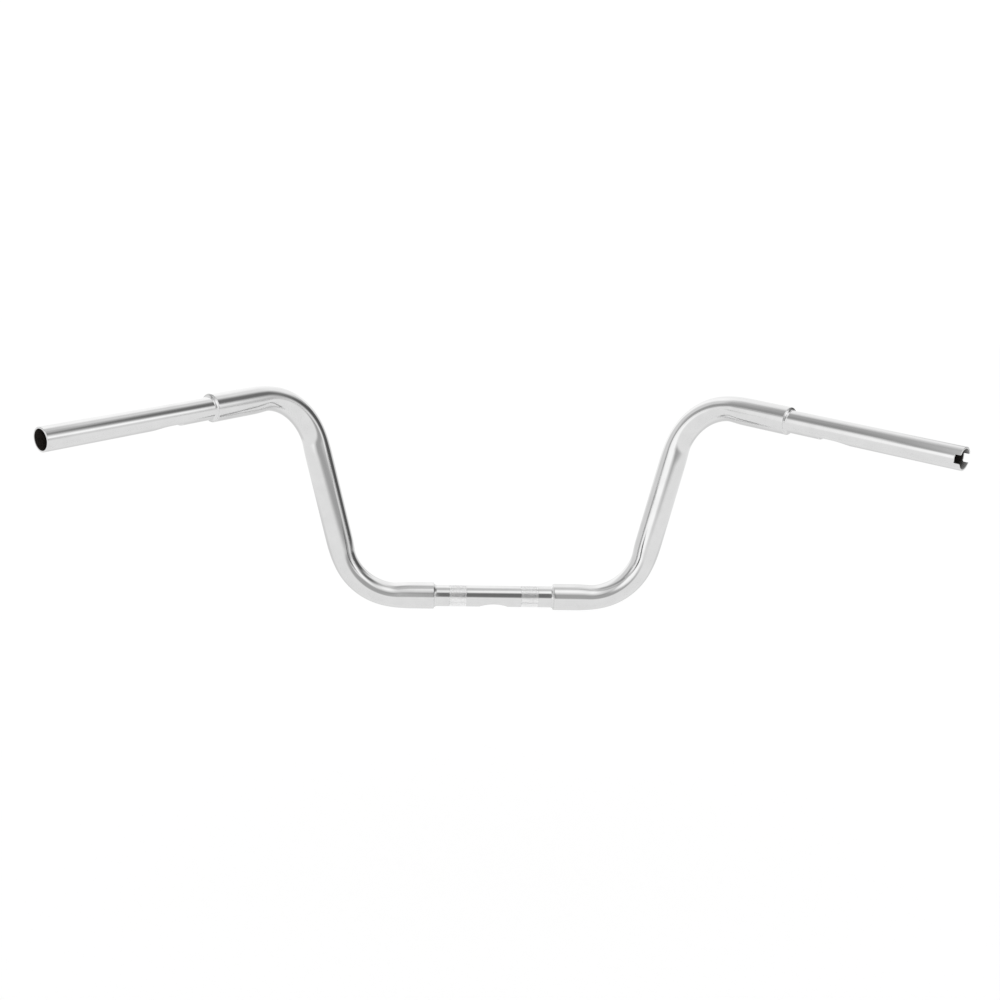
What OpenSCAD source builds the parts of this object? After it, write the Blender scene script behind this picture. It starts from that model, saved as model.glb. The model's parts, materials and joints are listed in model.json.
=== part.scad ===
// Ape hanger handlebar, welded from five steel tubes and chromed all over.
// Origin: middle of the clamp tube's axis. +X to the rider's right, +Y forward, +Z up. Millimetres.

/* [Tube stock] */
// Outer diameter of the clamp tube and of both grip tubes
tube_d = 25.4; // [24:0.1:27]
// Wall of the clamp tube and of both grip tubes
tube_wall = 2; // [1.5:0.1:3]
// Outer diameter of the two riser tubes
riser_d = 31.75; // [30:0.05:36]

/* [Clamp tube] */
// Length of clamp tube that shows between the two risers
clamp_len = 145; // [130:1:190]
// Distance between the middles of the two knurled bands
knurl_spacing = 87; // [70:1:100]
// Length of each knurled band
knurl_len = 21; // [10:1:28]
// Depth of the knurl from its peaks to its grooves
knurl_depth = 0.5; // [0.2:0.05:0.7]
// Diamonds around each knurled band
knurl_diamonds = 40; // [24:2:44]
// Rows of half diamonds along each knurled band
knurl_rows = 12; // [6:1:14]

/* [Risers] */
// Distance between the two lower corners, along the axes of the tubes
corner_spread = 340; // [320:1:420]
// Height of the upper corners over the clamp tube's axis
rise = 244; // [200:1:420]
// Outward lean of each riser from the vertical, in degrees
riser_lean = 14; // [0:0.5:25]
// Radius of the lower bends at the tube's axis
lower_bend_r = 70; // [50:1:72]
// Radius of the upper bends at the tube's axis
upper_bend_r = 68; // [50:1:100]

/* [Grips] */
// Distance from an upper corner to the end of its grip
corner_to_end = 340; // [325:1:420]
// Length of each grip tube from the shoulder to the open end
grip_len = 205; // [180:1:220]
// Angle in plan between each grip and the clamp tube, in degrees
pull_back = 47; // [30:0.5:60]
// Fall of each grip towards its end, in degrees
droop = 6; // [0:0.5:20]

/* [Joints between tubes] */
// Length of clamp tube or grip tube that sits inside a riser
sleeve_len = 38; // [20:1:42]
// Depth to which that length is turned down
spigot_step = 0.2; // [0.1:0.05:0.4]
// Gap between a turned end and the riser's bore
spigot_gap = 0.1; // [0.05:0.05:0.3]
// Length of each weld fillet along the smaller tube
weld_len = 3; // [2:0.1:5]
// Hollow of the weld fillet's face, as the depth of its arc
weld_hollow = 0.45; // [0.1:0.05:0.8]

/* [Openings for the wires] */
// Length of the exit hole under the clamp tube
exit_len = 35; // [20:1:50]
// Width of the exit hole
exit_w = 16; // [10:0.5:18]
// Turn of the exit hole from straight down towards the rider, in degrees
exit_lean = 12; // [0:1:30]
// Length of the slot under each grip tube
slot_len = 38; // [20:1:45]
// Width of the slot
slot_w = 14; // [8:0.5:16]
// Distance from the slot's rounded tip to the open end
slot_from_end = 125; // [110:1:130]
// Turn of the slot from straight down towards the rider, in degrees
slot_lean = 6; // [0:1:30]
// Corner radius at the slot's square end
slot_corner_r = 1.5; // [0.5:0.1:3]
// Width of the two notches in the right grip tube's end
notch_w = 9; // [5:0.5:12]
// Depth of those notches
notch_depth = 6; // [3:0.5:12]
// Corner radius at the foot of those notches
notch_corner_r = 1; // [0.3:0.1:2]

/* [Edges] */
// Chamfer on the open ends of the clamp tube and grip tubes
end_chamfer = 0.5; // [0.2:0.1:0.6]
// Chamfer on the outer edge of the riser tubes' ends
riser_chamfer = 0.8; // [0.3:0.1:1]

/* [Hidden] */
$fn = 96;

// How far cutters reach past the surface that they cut
overcut = 1;

// Radii of the tubes
tube_r = tube_d / 2;
bore_r = tube_r - tube_wall;
spigot_r = tube_r - spigot_step;
riser_r = riser_d / 2;
riser_bore_r = spigot_r + spigot_gap;

// Knurl: the tube under it is turned to just below the grooves, and a short plain run is left at each end
groove_r = tube_r - knurl_depth;
core_drop = 0.1;
core_r = groove_r - core_drop;
knurl_root = 0.4;
knurl_runout = 0.3;
knurl_steps = 2 * knurl_diamonds;

// Axis of the right arm: corners and directions
riser_dir = [sin(riser_lean), 0, cos(riser_lean)];
grip_dir = [cos(droop) * cos(pull_back), -cos(droop) * sin(pull_back), -sin(droop)];
riser_len = rise / cos(riser_lean);
lower_corner = [corner_spread / 2, 0, 0];
upper_corner = lower_corner + riser_len * riser_dir;
grip_end = upper_corner + corner_to_end * grip_dir;

// Bends: angle turned, and distance from the corner to where the straight tube starts
lower_bend = 90 - riser_lean;
upper_bend = acos(riser_dir * grip_dir);
lower_tangent = lower_bend_r * tan(lower_bend / 2);
upper_tangent = upper_bend_r * tan(upper_bend / 2);

// Turn about the riser's axis that brings its bending plane onto the grip
inward = [-cos(riser_lean), 0, sin(riser_lean)];
rearward = [0, -1, 0];
upper_turn = atan2(grip_dir * rearward, grip_dir * inward);

// Radius that the tube loses where it is drawn round a bend, and how far each straight laps into its bend
bend_drop = 0.05;
straight_lap = 0.5;

// Straight stretches of the riser tube
lower_straight = corner_spread / 2 - lower_tangent - clamp_len / 2;
middle_straight = riser_len - lower_tangent - upper_tangent;
upper_straight = corner_to_end - upper_tangent - grip_len;

// Gap between a weld fillet and the two tubes that it joins
weld_gap = 0.01;

// Sides of the exit hole's oval, of the slot's rounded tip and of a weld fillet's hollow face
oval_sides = 48;
tip_sides = 24;
fillet_sides = 8;

// Share of the slot's length taken by its rounded tip
slot_tip_share = 0.6;

// Points of an ellipse, from angle a0 to angle a1
function ellipse_arc(half_len, half_w, a0, a1, steps) =
    [for (i = [0:steps])
        let (a = a0 + (a1 - a0) * i / steps) [half_len * cos(a), half_w * sin(a)]];

// Points of a shallow arc from p to q, hollow by the given depth on the left of the line
function hollow_arc(p, q, depth, steps) =
    let (chord = q - p, side = [-chord.y, chord.x] / norm(chord))
    [for (i = [0:steps]) let (t = i / steps) p + chord * t + side * depth * 4 * t * (1 - t)];

// One ring of points around the Z axis at height z, with the radius given for each step
function ring(z, radii) =
    [for (k = [0:len(radii) - 1])
        let (a = 360 * k / len(radii)) [radii[k] * cos(a), radii[k] * sin(a), z]];

// A diamond knurl: rings of alternate peaks and grooves on a closed sleeve, standing on z = 0
module knurl_band(length) {
    rows = [for (i = [0:knurl_rows])
        ring(length * i / knurl_rows, [for (k = [0:knurl_steps - 1]) (k + i) % 2 == 0 ? tube_r : groove_r])];
    root = [for (k = [0:knurl_steps - 1]) core_r - knurl_root];
    rings = concat([ring(0, root)], rows, [ring(length, root)]);
    points = [for (r = rings) each r];
    last = knurl_rows + 2;
    // Each cell between two rows is split from groove to groove, so every peak is a pyramid
    cells = [for (i = [0:last - 1], k = [0:knurl_steps - 1])
        let (n = (k + 1) % knurl_steps, a = i * knurl_steps + k, b = i * knurl_steps + n,
            c = a + knurl_steps, d = b + knurl_steps)
        each (k + i) % 2 == 0 ? [[a, c, b], [b, c, d]] : [[a, d, b], [a, c, d]]];
    inner = [for (k = [0:knurl_steps - 1])
        let (n = (k + 1) % knurl_steps, top = last * knurl_steps) [k, n, n + top, k + top]];
    polyhedron(points, concat(cells, inner), convexity = 6);
}

// Clamp tube: plain bore, turned ends that sit in the risers, and two knurled bands
module clamp_tube_turning() {
    band_in = (knurl_spacing - knurl_len) / 2;
    band_out = band_in + knurl_len;
    toe = clamp_len / 2 - weld_len;
    tip = clamp_len / 2 + sleeve_len;
    half = [
        [tube_r, band_in], [core_r, band_in], [core_r, band_out], [tube_r, band_out],
        [tube_r, toe], [spigot_r, toe], [spigot_r, tip - end_chamfer],
        [spigot_r - end_chamfer, tip], [bore_r, tip]
    ];
    other_half = [for (i = [len(half) - 1:-1:0]) [half[i].x, -half[i].y]];
    rotate_extrude() polygon(concat(other_half, half));
    for (side = [-1, 1]) translate([0, 0, side * knurl_spacing / 2 - knurl_len / 2 + knurl_runout])
        knurl_band(knurl_len - 2 * knurl_runout);
}

// The oval hole under the clamp tube where the wires come out
module exit_hole() {
    rotate([180 - exit_lean, 0, 0]) linear_extrude(tube_d)
        polygon(ellipse_arc(exit_len / 2, exit_w / 2, 0, 360 - 360 / oval_sides, oval_sides - 1));
}

// One grip tube with its open end on z = 0 and its inner end below; +X is its underside
module grip_tube_turning() {
    rotate_extrude() polygon([
        [bore_r + end_chamfer, 0], [tube_r - end_chamfer, 0], [tube_r, -end_chamfer],
        [tube_r, -grip_len + weld_len], [spigot_r, -grip_len + weld_len],
        [spigot_r, -grip_len - sleeve_len + end_chamfer],
        [spigot_r - end_chamfer, -grip_len - sleeve_len],
        [bore_r, -grip_len - sleeve_len], [bore_r, -end_chamfer]
    ]);
}

// The slot under a grip tube where the wires go in: a rounded tip outboard and a square end inboard
module wire_slot() {
    tip_len = slot_len * slot_tip_share;
    foot = slot_len - tip_len;
    half_w = slot_w / 2;
    rotate([0, 0, -slot_lean]) translate([0, 0, -slot_from_end - tip_len]) rotate([0, 90, 0])
        linear_extrude(tube_d) union() {
            polygon(concat(ellipse_arc(tip_len, half_w, 90, 270, tip_sides),
                [[foot - slot_corner_r, -half_w], [foot - slot_corner_r, half_w]]));
            translate([foot - 2 * slot_corner_r, slot_corner_r - half_w])
                square([2 * slot_corner_r, slot_w - 2 * slot_corner_r]);
            for (side = [-1, 1]) translate([foot - slot_corner_r, side * (half_w - slot_corner_r)])
                circle(slot_corner_r);
        }
}

// Two notches across the open end of a grip tube, on its front and rear sides
module end_notches() {
    width = notch_w - 2 * notch_corner_r;
    depth = notch_depth - notch_corner_r;
    rotate([90, 0, 0]) linear_extrude(2 * tube_d, center = true) union() {
        translate([-notch_w / 2, -depth]) square([notch_w, depth + overcut]);
        translate([-width / 2, -notch_depth]) square([width, notch_depth + overcut]);
        for (side = [-1, 1]) translate([side * width / 2, -depth]) circle(notch_corner_r);
    }
}

// A solid bend that leaves the origin along +Z and turns towards +X
module solid_bend(angle, bend_r, r) {
    translate([bend_r, 0, 0]) rotate([90, 0, 180])
        rotate_extrude(angle = angle) translate([bend_r, 0]) circle(r - bend_drop);
}

// Moves its children round such a bend
module after_bend(angle, bend_r) {
    translate([bend_r, 0, 0]) rotate([0, angle, 0]) translate([-bend_r, 0, 0]) children();
}

// A straight bar from z = 0 that laps into the bend after it, with its first edge chamfered
module solid_end(r, length, edge) {
    reach = length + straight_lap;
    if (edge > 0)
        rotate_extrude() polygon([[0, 0], [r - edge, 0], [r, edge], [r, reach], [0, reach]]);
    else
        cylinder(h = reach, r = r);
}

// A solid riser: three straights and two bends, with the ends made longer by extra and chamfered by edge
module solid_riser(r, extra, edge) {
    translate([0, 0, -extra]) solid_end(r, lower_straight + extra, edge);
    translate([0, 0, lower_straight]) {
        solid_bend(lower_bend, lower_bend_r, r);
        after_bend(lower_bend, lower_bend_r) {
            translate([0, 0, -straight_lap]) cylinder(h = middle_straight + 2 * straight_lap, r = r);
            translate([0, 0, middle_straight]) rotate([0, 0, upper_turn]) {
                solid_bend(upper_bend, upper_bend_r, r);
                after_bend(upper_bend, upper_bend_r)
                    translate([0, 0, upper_straight + extra]) rotate([180, 0, 0])
                        solid_end(r, upper_straight + extra, edge);
            }
        }
    }
}

// The right riser tube in place: it starts at the clamp tube and ends at the grip's shoulder
module riser_tube() {
    translate([clamp_len / 2, 0, 0]) rotate([0, 90, 0]) rotate([0, 0, 180]) difference() {
        solid_riser(riser_r, 0, riser_chamfer);
        solid_riser(riser_bore_r, overcut, 0);
    }
}

// A weld fillet around the smaller tube, standing on the riser's end at z = 0
module weld_fillet() {
    face_r = riser_r - riser_chamfer;
    inner_r = spigot_r + weld_gap;
    top = weld_len - weld_gap;
    rotate_extrude() polygon(concat(
        [[inner_r, top], [inner_r, weld_gap]],
        hollow_arc([face_r, weld_gap], [tube_r, top], weld_hollow, fillet_sides)
    ));
}

// Moves its children from z = 0 to the right grip's open end, with +Z along the grip and +X down
module at_grip_end() {
    translate(grip_end) rotate([0, 90 + droop, -pull_back]) children();
}

module centre_clamp_tube() {
    color("silver") difference() {
        rotate([0, 90, 0]) clamp_tube_turning();
        exit_hole();
    }
}

module right_riser_tube() {
    color("gainsboro") riser_tube();
}

module left_riser_tube() {
    color("gainsboro") mirror([1, 0, 0]) riser_tube();
}

module right_grip_tube() {
    color("silver") at_grip_end() difference() {
        grip_tube_turning();
        wire_slot();
        end_notches();
    }
}

module left_grip_tube() {
    color("silver") mirror([1, 0, 0]) at_grip_end() difference() {
        grip_tube_turning();
        wire_slot();
    }
}

module right_clamp_weld() {
    color("lightgray") translate([clamp_len / 2, 0, 0]) rotate([0, -90, 0]) weld_fillet();
}

module left_clamp_weld() {
    color("lightgray") mirror([1, 0, 0])
        translate([clamp_len / 2, 0, 0]) rotate([0, -90, 0]) weld_fillet();
}

module right_grip_weld() {
    color("lightgray") at_grip_end() translate([0, 0, -grip_len]) weld_fillet();
}

module left_grip_weld() {
    color("lightgray") mirror([1, 0, 0])
        at_grip_end() translate([0, 0, -grip_len]) weld_fillet();
}

centre_clamp_tube();
left_riser_tube();
right_riser_tube();
left_grip_tube();
right_grip_tube();
left_clamp_weld();
right_clamp_weld();
left_grip_weld();
right_grip_weld();
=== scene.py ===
"""Looks of the ape hanger handlebar: five chromed tubes, four welds, a pale floor and soft studio light."""

import json
import logging
import math
from dataclasses import dataclass, field, replace
from enum import Enum

import bmesh
import bpy
import numpy as np
from bpy.types import Material, Mesh, Node, NodeSocket, NodeTree, Object
from mathutils import Matrix, Vector

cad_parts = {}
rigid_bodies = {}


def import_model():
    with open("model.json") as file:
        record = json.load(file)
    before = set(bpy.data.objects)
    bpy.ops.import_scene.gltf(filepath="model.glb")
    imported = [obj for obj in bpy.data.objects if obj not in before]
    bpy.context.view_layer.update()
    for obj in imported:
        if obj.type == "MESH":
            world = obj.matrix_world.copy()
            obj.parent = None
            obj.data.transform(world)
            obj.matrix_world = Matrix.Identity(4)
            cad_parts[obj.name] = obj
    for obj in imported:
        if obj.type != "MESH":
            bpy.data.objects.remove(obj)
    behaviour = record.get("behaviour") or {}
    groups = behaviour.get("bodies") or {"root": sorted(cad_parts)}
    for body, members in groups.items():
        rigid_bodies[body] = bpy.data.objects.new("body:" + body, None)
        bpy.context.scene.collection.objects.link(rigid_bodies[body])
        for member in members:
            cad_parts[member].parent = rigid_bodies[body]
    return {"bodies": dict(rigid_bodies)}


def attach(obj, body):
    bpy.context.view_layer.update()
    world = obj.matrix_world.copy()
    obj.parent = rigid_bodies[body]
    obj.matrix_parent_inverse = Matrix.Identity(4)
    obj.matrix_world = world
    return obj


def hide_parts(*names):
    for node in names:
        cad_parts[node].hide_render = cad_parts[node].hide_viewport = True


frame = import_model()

log = logging.getLogger("handlebar")
BODY = sorted(frame["bodies"])[0]
MM = 0.001
SEAM = 1e-6
ON_WALL = 1e-7
TINY = 1e-9
ABOVE_ZERO = 100.0
INNER_WALL = "inner_wall"
LINE_POINTS = 40
ARC_POINTS = 24
QUARTER_POINTS = 90


class Side(Enum):
    """The two sides of the bar, as the rider has them."""

    LEFT = -1
    RIGHT = 1


class OpenEnd(Enum):
    """How the open end of a grip tube is cut."""

    PLAIN = "plain"
    NOTCHED = "notched"


def unit(v: np.ndarray) -> np.ndarray:
    """The vector at length one."""
    return v / np.linalg.norm(v)


def smooth(t: float) -> float:
    """A soft step from 0 to 1 for t from 0 to 1."""
    t = min(max(t, 0.0), 1.0)
    return t * t * (3 - 2 * t)


def frame_of(x: np.ndarray, y: np.ndarray, z: np.ndarray, origin: object = (0, 0, 0)) -> Matrix:
    """A frame from its three axes and its origin."""
    return Matrix([*np.column_stack([x, y, z, origin]).tolist(), [0, 0, 0, 1]])


@dataclass(frozen=True)
class BarSizes:
    """Sizes of the bar in metres and radians, the same as its solids have."""

    tube_r: float = 12.7 * MM
    bore_r: float = 10.7 * MM
    riser_r: float = 15.875 * MM
    riser_bore_r: float = 12.6 * MM
    spigot_r: float = 12.5 * MM
    clamp_len: float = 145 * MM
    knurl_spacing: float = 87 * MM
    knurl_len: float = 21 * MM
    knurl_depth: float = 0.5 * MM
    knurl_diamonds: int = 40
    knurl_rows: int = 12
    corner_spread: float = 340 * MM
    rise: float = 244 * MM
    lean: float = math.radians(14)
    lower_bend_r: float = 70 * MM
    upper_bend_r: float = 68 * MM
    corner_to_end: float = 340 * MM
    grip_len: float = 205 * MM
    pull_back: float = math.radians(47)
    droop: float = math.radians(6)
    sleeve_len: float = 38 * MM
    weld_len: float = 3 * MM
    riser_edge: float = 0.8 * MM

    def riser_dir(self) -> np.ndarray:
        """Direction of the right riser's upright stretch, upwards."""
        return np.array([math.sin(self.lean), 0, math.cos(self.lean)])

    def grip_dir(self) -> np.ndarray:
        """Direction of the right grip, outwards."""
        flat, turn = math.cos(self.droop), self.pull_back
        return np.array([flat * math.cos(turn), -flat * math.sin(turn), -math.sin(self.droop)])

    def lower_corner(self) -> np.ndarray:
        """Where the right lower bend's two axes cross."""
        return np.array([self.corner_spread / 2, 0, 0])

    def upper_corner(self) -> np.ndarray:
        """Where the right upper bend's two axes cross."""
        return self.lower_corner() + self.riser_dir() * self.rise / math.cos(self.lean)

    def grip_end(self) -> np.ndarray:
        """Middle of the right grip's open end."""
        return self.upper_corner() + self.grip_dir() * self.corner_to_end

    def grip_frame(self) -> Matrix:
        """The frame at the right grip's open end.

        Returns:
            A frame with +Z outwards along the grip and +X down.
        """
        z = self.grip_dir()
        x = unit(np.array([0, 0, -1.0]) - z * -z[2])
        return frame_of(x, np.cross(z, x), z, self.grip_end())


SIZES = BarSizes()


@dataclass
class Station:
    """One ring of a tube's skin: middle, two directions across it, radius and how it is flattened."""

    centre: np.ndarray
    across: np.ndarray
    beside: np.ndarray
    radius: float
    squeeze_dir: np.ndarray = field(default_factory=lambda: np.zeros(3))
    squeeze: float = 0.0
    ripple: float = 0.0
    inside: bool = False


class TreeBuilder:
    """Adds nodes to a node tree and joins them with few words."""

    def __init__(self, tree: NodeTree) -> None:
        """Keeps the tree that the nodes go into."""
        self.tree = tree

    def add(self, kind: str, inputs: dict | None = None, **settings: object) -> Node:
        """Adds a node.

        Args:
            kind: Blender's name of the node type.
            inputs: Values or output sockets for its inputs, by name or number.
            settings: Properties set on the node before its inputs.

        Returns:
            The new node.
        """
        node = self.tree.nodes.new(kind)
        for name, value in settings.items():
            setattr(node, name, value)
        for key, value in (inputs or {}).items():
            self.feed(node.inputs[key], value)
        return node

    def feed(self, socket: NodeSocket, value: object) -> None:
        """Links an output to the socket, or sets the socket's value.

        Args:
            socket: The input.
            value: The output or the value.
        """
        if isinstance(value, NodeSocket):
            self.tree.links.new(value, socket)
        else:
            socket.default_value = value

    def math(self, operation: str, a: object, b: object = 0.0, c: object = 0.0) -> NodeSocket:
        """Adds a Math node.

        Args:
            operation: Blender's name of the operation.
            a: First number.
            b: Second number.
            c: Third number, for the operations that take three.

        Returns:
            The result.
        """
        count = 3 if operation in ("MULTIPLY_ADD", "COMPARE") else 2
        inputs = dict(enumerate((a, b, c)[:count]))
        return self.add("ShaderNodeMath", inputs, operation=operation).outputs[0]

    def vector(self, operation: str, a: object, b: object = None, scale: object = None) -> NodeSocket:
        """The result of a Vector Math node.

        Args:
            operation: Blender's name of the operation.
            a: First vector.
            b: Second vector, where there is one.
            scale: Factor, where there is one.

        Returns:
            A number for a dot product and a vector otherwise.
        """
        node = self.add("ShaderNodeVectorMath", {0: a}, operation=operation)
        if b is not None:
            self.feed(node.inputs[1], b)
        if scale is not None:
            self.feed(node.inputs["Scale"], scale)
        return node.outputs["Value" if operation == "DOT_PRODUCT" else "Vector"]

    def soft_step(self, value: object, low: object = 0.0, high: object = 1.0) -> NodeSocket:
        """A value that runs softly from 0 to 1 between two limits."""
        return self.add("ShaderNodeMapRange", {"Value": value, "From Min": low, "From Max": high},
                        interpolation_type="SMOOTHSTEP").outputs["Result"]

    def grey(self, value: object) -> NodeSocket:
        """A colour with this value in all three channels."""
        channels = dict.fromkeys(("Red", "Green", "Blue"), value)
        return self.add("ShaderNodeCombineColor", channels).outputs["Color"]

    def place(self, space: str = "Object") -> object:
        """The X, Y and Z of each shaded point in one of its spaces."""
        point = self.add("ShaderNodeTexCoord").outputs[space]
        return self.add("ShaderNodeSeparateXYZ", {"Vector": point}).outputs

    def value_range(self, value: object, low: float, high: float) -> NodeSocket:
        """A value from 0 to 1 brought between two limits."""
        inputs = {"Value": value, "To Min": low, "To Max": high}
        return self.add("ShaderNodeMapRange", inputs).outputs["Result"]


def in_scene(name: str, data: object) -> Object:
    """Adds an object to the scene, at its origin.

    Args:
        name: Name of the object.
        data: Its mesh or camera.

    Returns:
        The object.
    """
    made = bpy.data.objects.new(name, data)
    bpy.context.scene.collection.objects.link(made)
    return made


def new_geometry_tree(name: str, sockets: list[tuple[str, str, object]]) -> NodeTree:
    """Starts a Geometry Nodes tree with named inputs.

    Args:
        name: The tree's name.
        sockets: Name, socket type and default value of each input after the geometry.

    Returns:
        The tree, with its geometry input and output.
    """
    tree = bpy.data.node_groups.new(name, "GeometryNodeTree")
    tree.interface.new_socket("Geometry", in_out="OUTPUT", socket_type="NodeSocketGeometry")
    tree.interface.new_socket("Geometry", in_out="INPUT", socket_type="NodeSocketGeometry")
    for label, kind, value in sockets:
        socket = tree.interface.new_socket(label, in_out="INPUT", socket_type=kind)
        if value is not None:
            socket.default_value = value
    return tree


def ring_grid(b: TreeBuilder, rows: object, sides: object) -> tuple[NodeSocket, ...]:
    """Adds a flat grid that is to be rolled into rings.

    Args:
        b: Builder of the tree.
        rows: Number of rings.
        sides: Number of sides of each ring.

    Returns:
        The grid, and for each vertex the number of its ring and its step round that ring.
    """
    per_ring = b.math("ADD", sides, 1.0)
    grid = b.add("GeometryNodeMeshGrid", {
        "Size X": 1.0, "Size Y": 1.0, "Vertices X": rows, "Vertices Y": per_ring})
    index = b.add("GeometryNodeInputIndex").outputs[0]
    ring = b.math("FLOOR", b.math("DIVIDE", b.math("ADD", index, 0.5), per_ring))
    step = b.math("SUBTRACT", index, b.math("MULTIPLY", ring, per_ring))
    return grid.outputs["Mesh"], ring, step


def rolled_up(b: TreeBuilder, grid: NodeSocket, place: NodeSocket,
              metal: NodeSocket, smooth_shaded: bool) -> NodeSocket:
    """Moves a grid's vertices to their places, closes its seams and gives it its metal.

    Args:
        b: Builder of the tree.
        grid: The flat grid.
        place: Each vertex's place.
        metal: The material.
        smooth_shaded: Whether the faces are shaded smooth.

    Returns:
        The geometry, with its instances realized.
    """
    moved = b.add("GeometryNodeSetPosition", {"Geometry": grid, "Position": place})
    closed = b.add("GeometryNodeMergeByDistance", {"Geometry": moved.outputs[0], "Distance": SEAM})
    shaded = b.add("GeometryNodeSetShadeSmooth", {
        "Geometry": closed.outputs[0], "Shade Smooth": smooth_shaded})
    real = b.add("GeometryNodeRealizeInstances", {"Geometry": shaded.outputs[0]})
    return b.add("GeometryNodeSetMaterial", {"Geometry": real.outputs[0], "Material": metal}).outputs[0]


def ring_skin_tree() -> NodeTree:
    """Tree that spans a skin over the rings whose places the incoming points carry.

    Returns:
        The Geometry Nodes tree.
    """
    tree = new_geometry_tree("ring skin", [
        ("Sides", "NodeSocketInt", 96), ("Stations", "NodeSocketInt", 2),
        ("Ripples", "NodeSocketFloat", 40.0), ("Metal", "NodeSocketMaterial", None),
        ("Bore", "NodeSocketMaterial", None)])
    b = TreeBuilder(tree)
    into = b.add("NodeGroupInput").outputs
    grid, ring, step = ring_grid(b, into["Stations"], into["Sides"])
    angle = b.math("MULTIPLY", b.math("DIVIDE", step, into["Sides"]), 2 * math.pi)

    def sample(label: str, kind: str) -> NodeSocket:
        """The named value of this vertex's ring.

        Args:
            label: Name of the points' attribute.
            kind: Its data type.

        Returns:
            The value.
        """
        value = b.add("GeometryNodeInputNamedAttribute", {"Name": label}, data_type=kind)
        node = b.add(
            "GeometryNodeSampleIndex", {"Geometry": into["Geometry"]}, data_type=kind, domain="POINT")
        tree.links.new(value.outputs["Attribute"], node.inputs["Value"])
        tree.links.new(ring, node.inputs["Index"])
        return node.outputs["Value"]

    wave = b.math("SINE", b.math("MULTIPLY", angle, into["Ripples"]))
    radius = b.math("ADD", sample("radius", "FLOAT"), b.math("MULTIPLY", sample("ripple", "FLOAT"), wave))
    ahead = b.math("MULTIPLY", radius, b.math("COSINE", angle))
    aside = b.math("MULTIPLY", radius, b.math("SINE", angle))
    arm = b.vector("ADD", b.vector("SCALE", sample("across", "FLOAT_VECTOR"), scale=ahead),
                   b.vector("SCALE", sample("beside", "FLOAT_VECTOR"), scale=aside))
    squeeze_dir = sample("squeeze_dir", "FLOAT_VECTOR")
    squeeze = b.math("MULTIPLY", sample("squeeze", "FLOAT"), -1.0)
    pressed = b.vector("SCALE", squeeze_dir, scale=b.math(
        "MULTIPLY", b.vector("DOT_PRODUCT", arm, squeeze_dir), squeeze))
    place = b.vector("ADD", b.vector("ADD", sample("centre", "FLOAT_VECTOR"), arm), pressed)
    marked = b.add(
        "GeometryNodeStoreNamedAttribute",
        {"Geometry": grid, "Name": INNER_WALL, "Value": sample("inside", "FLOAT")},
        data_type="FLOAT", domain="POINT")
    skin = rolled_up(b, marked.outputs[0], place, into["Metal"], True)
    inner = b.add("GeometryNodeInputNamedAttribute", {"Name": INNER_WALL}, data_type="FLOAT")
    inside = b.math("GREATER_THAN", inner.outputs["Attribute"], 0.5)
    lined = b.add("GeometryNodeSetMaterial", {
        "Geometry": skin, "Selection": inside, "Material": into["Bore"]})
    b.add("NodeGroupOutput", {"Geometry": lined.outputs[0]})
    return tree


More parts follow.
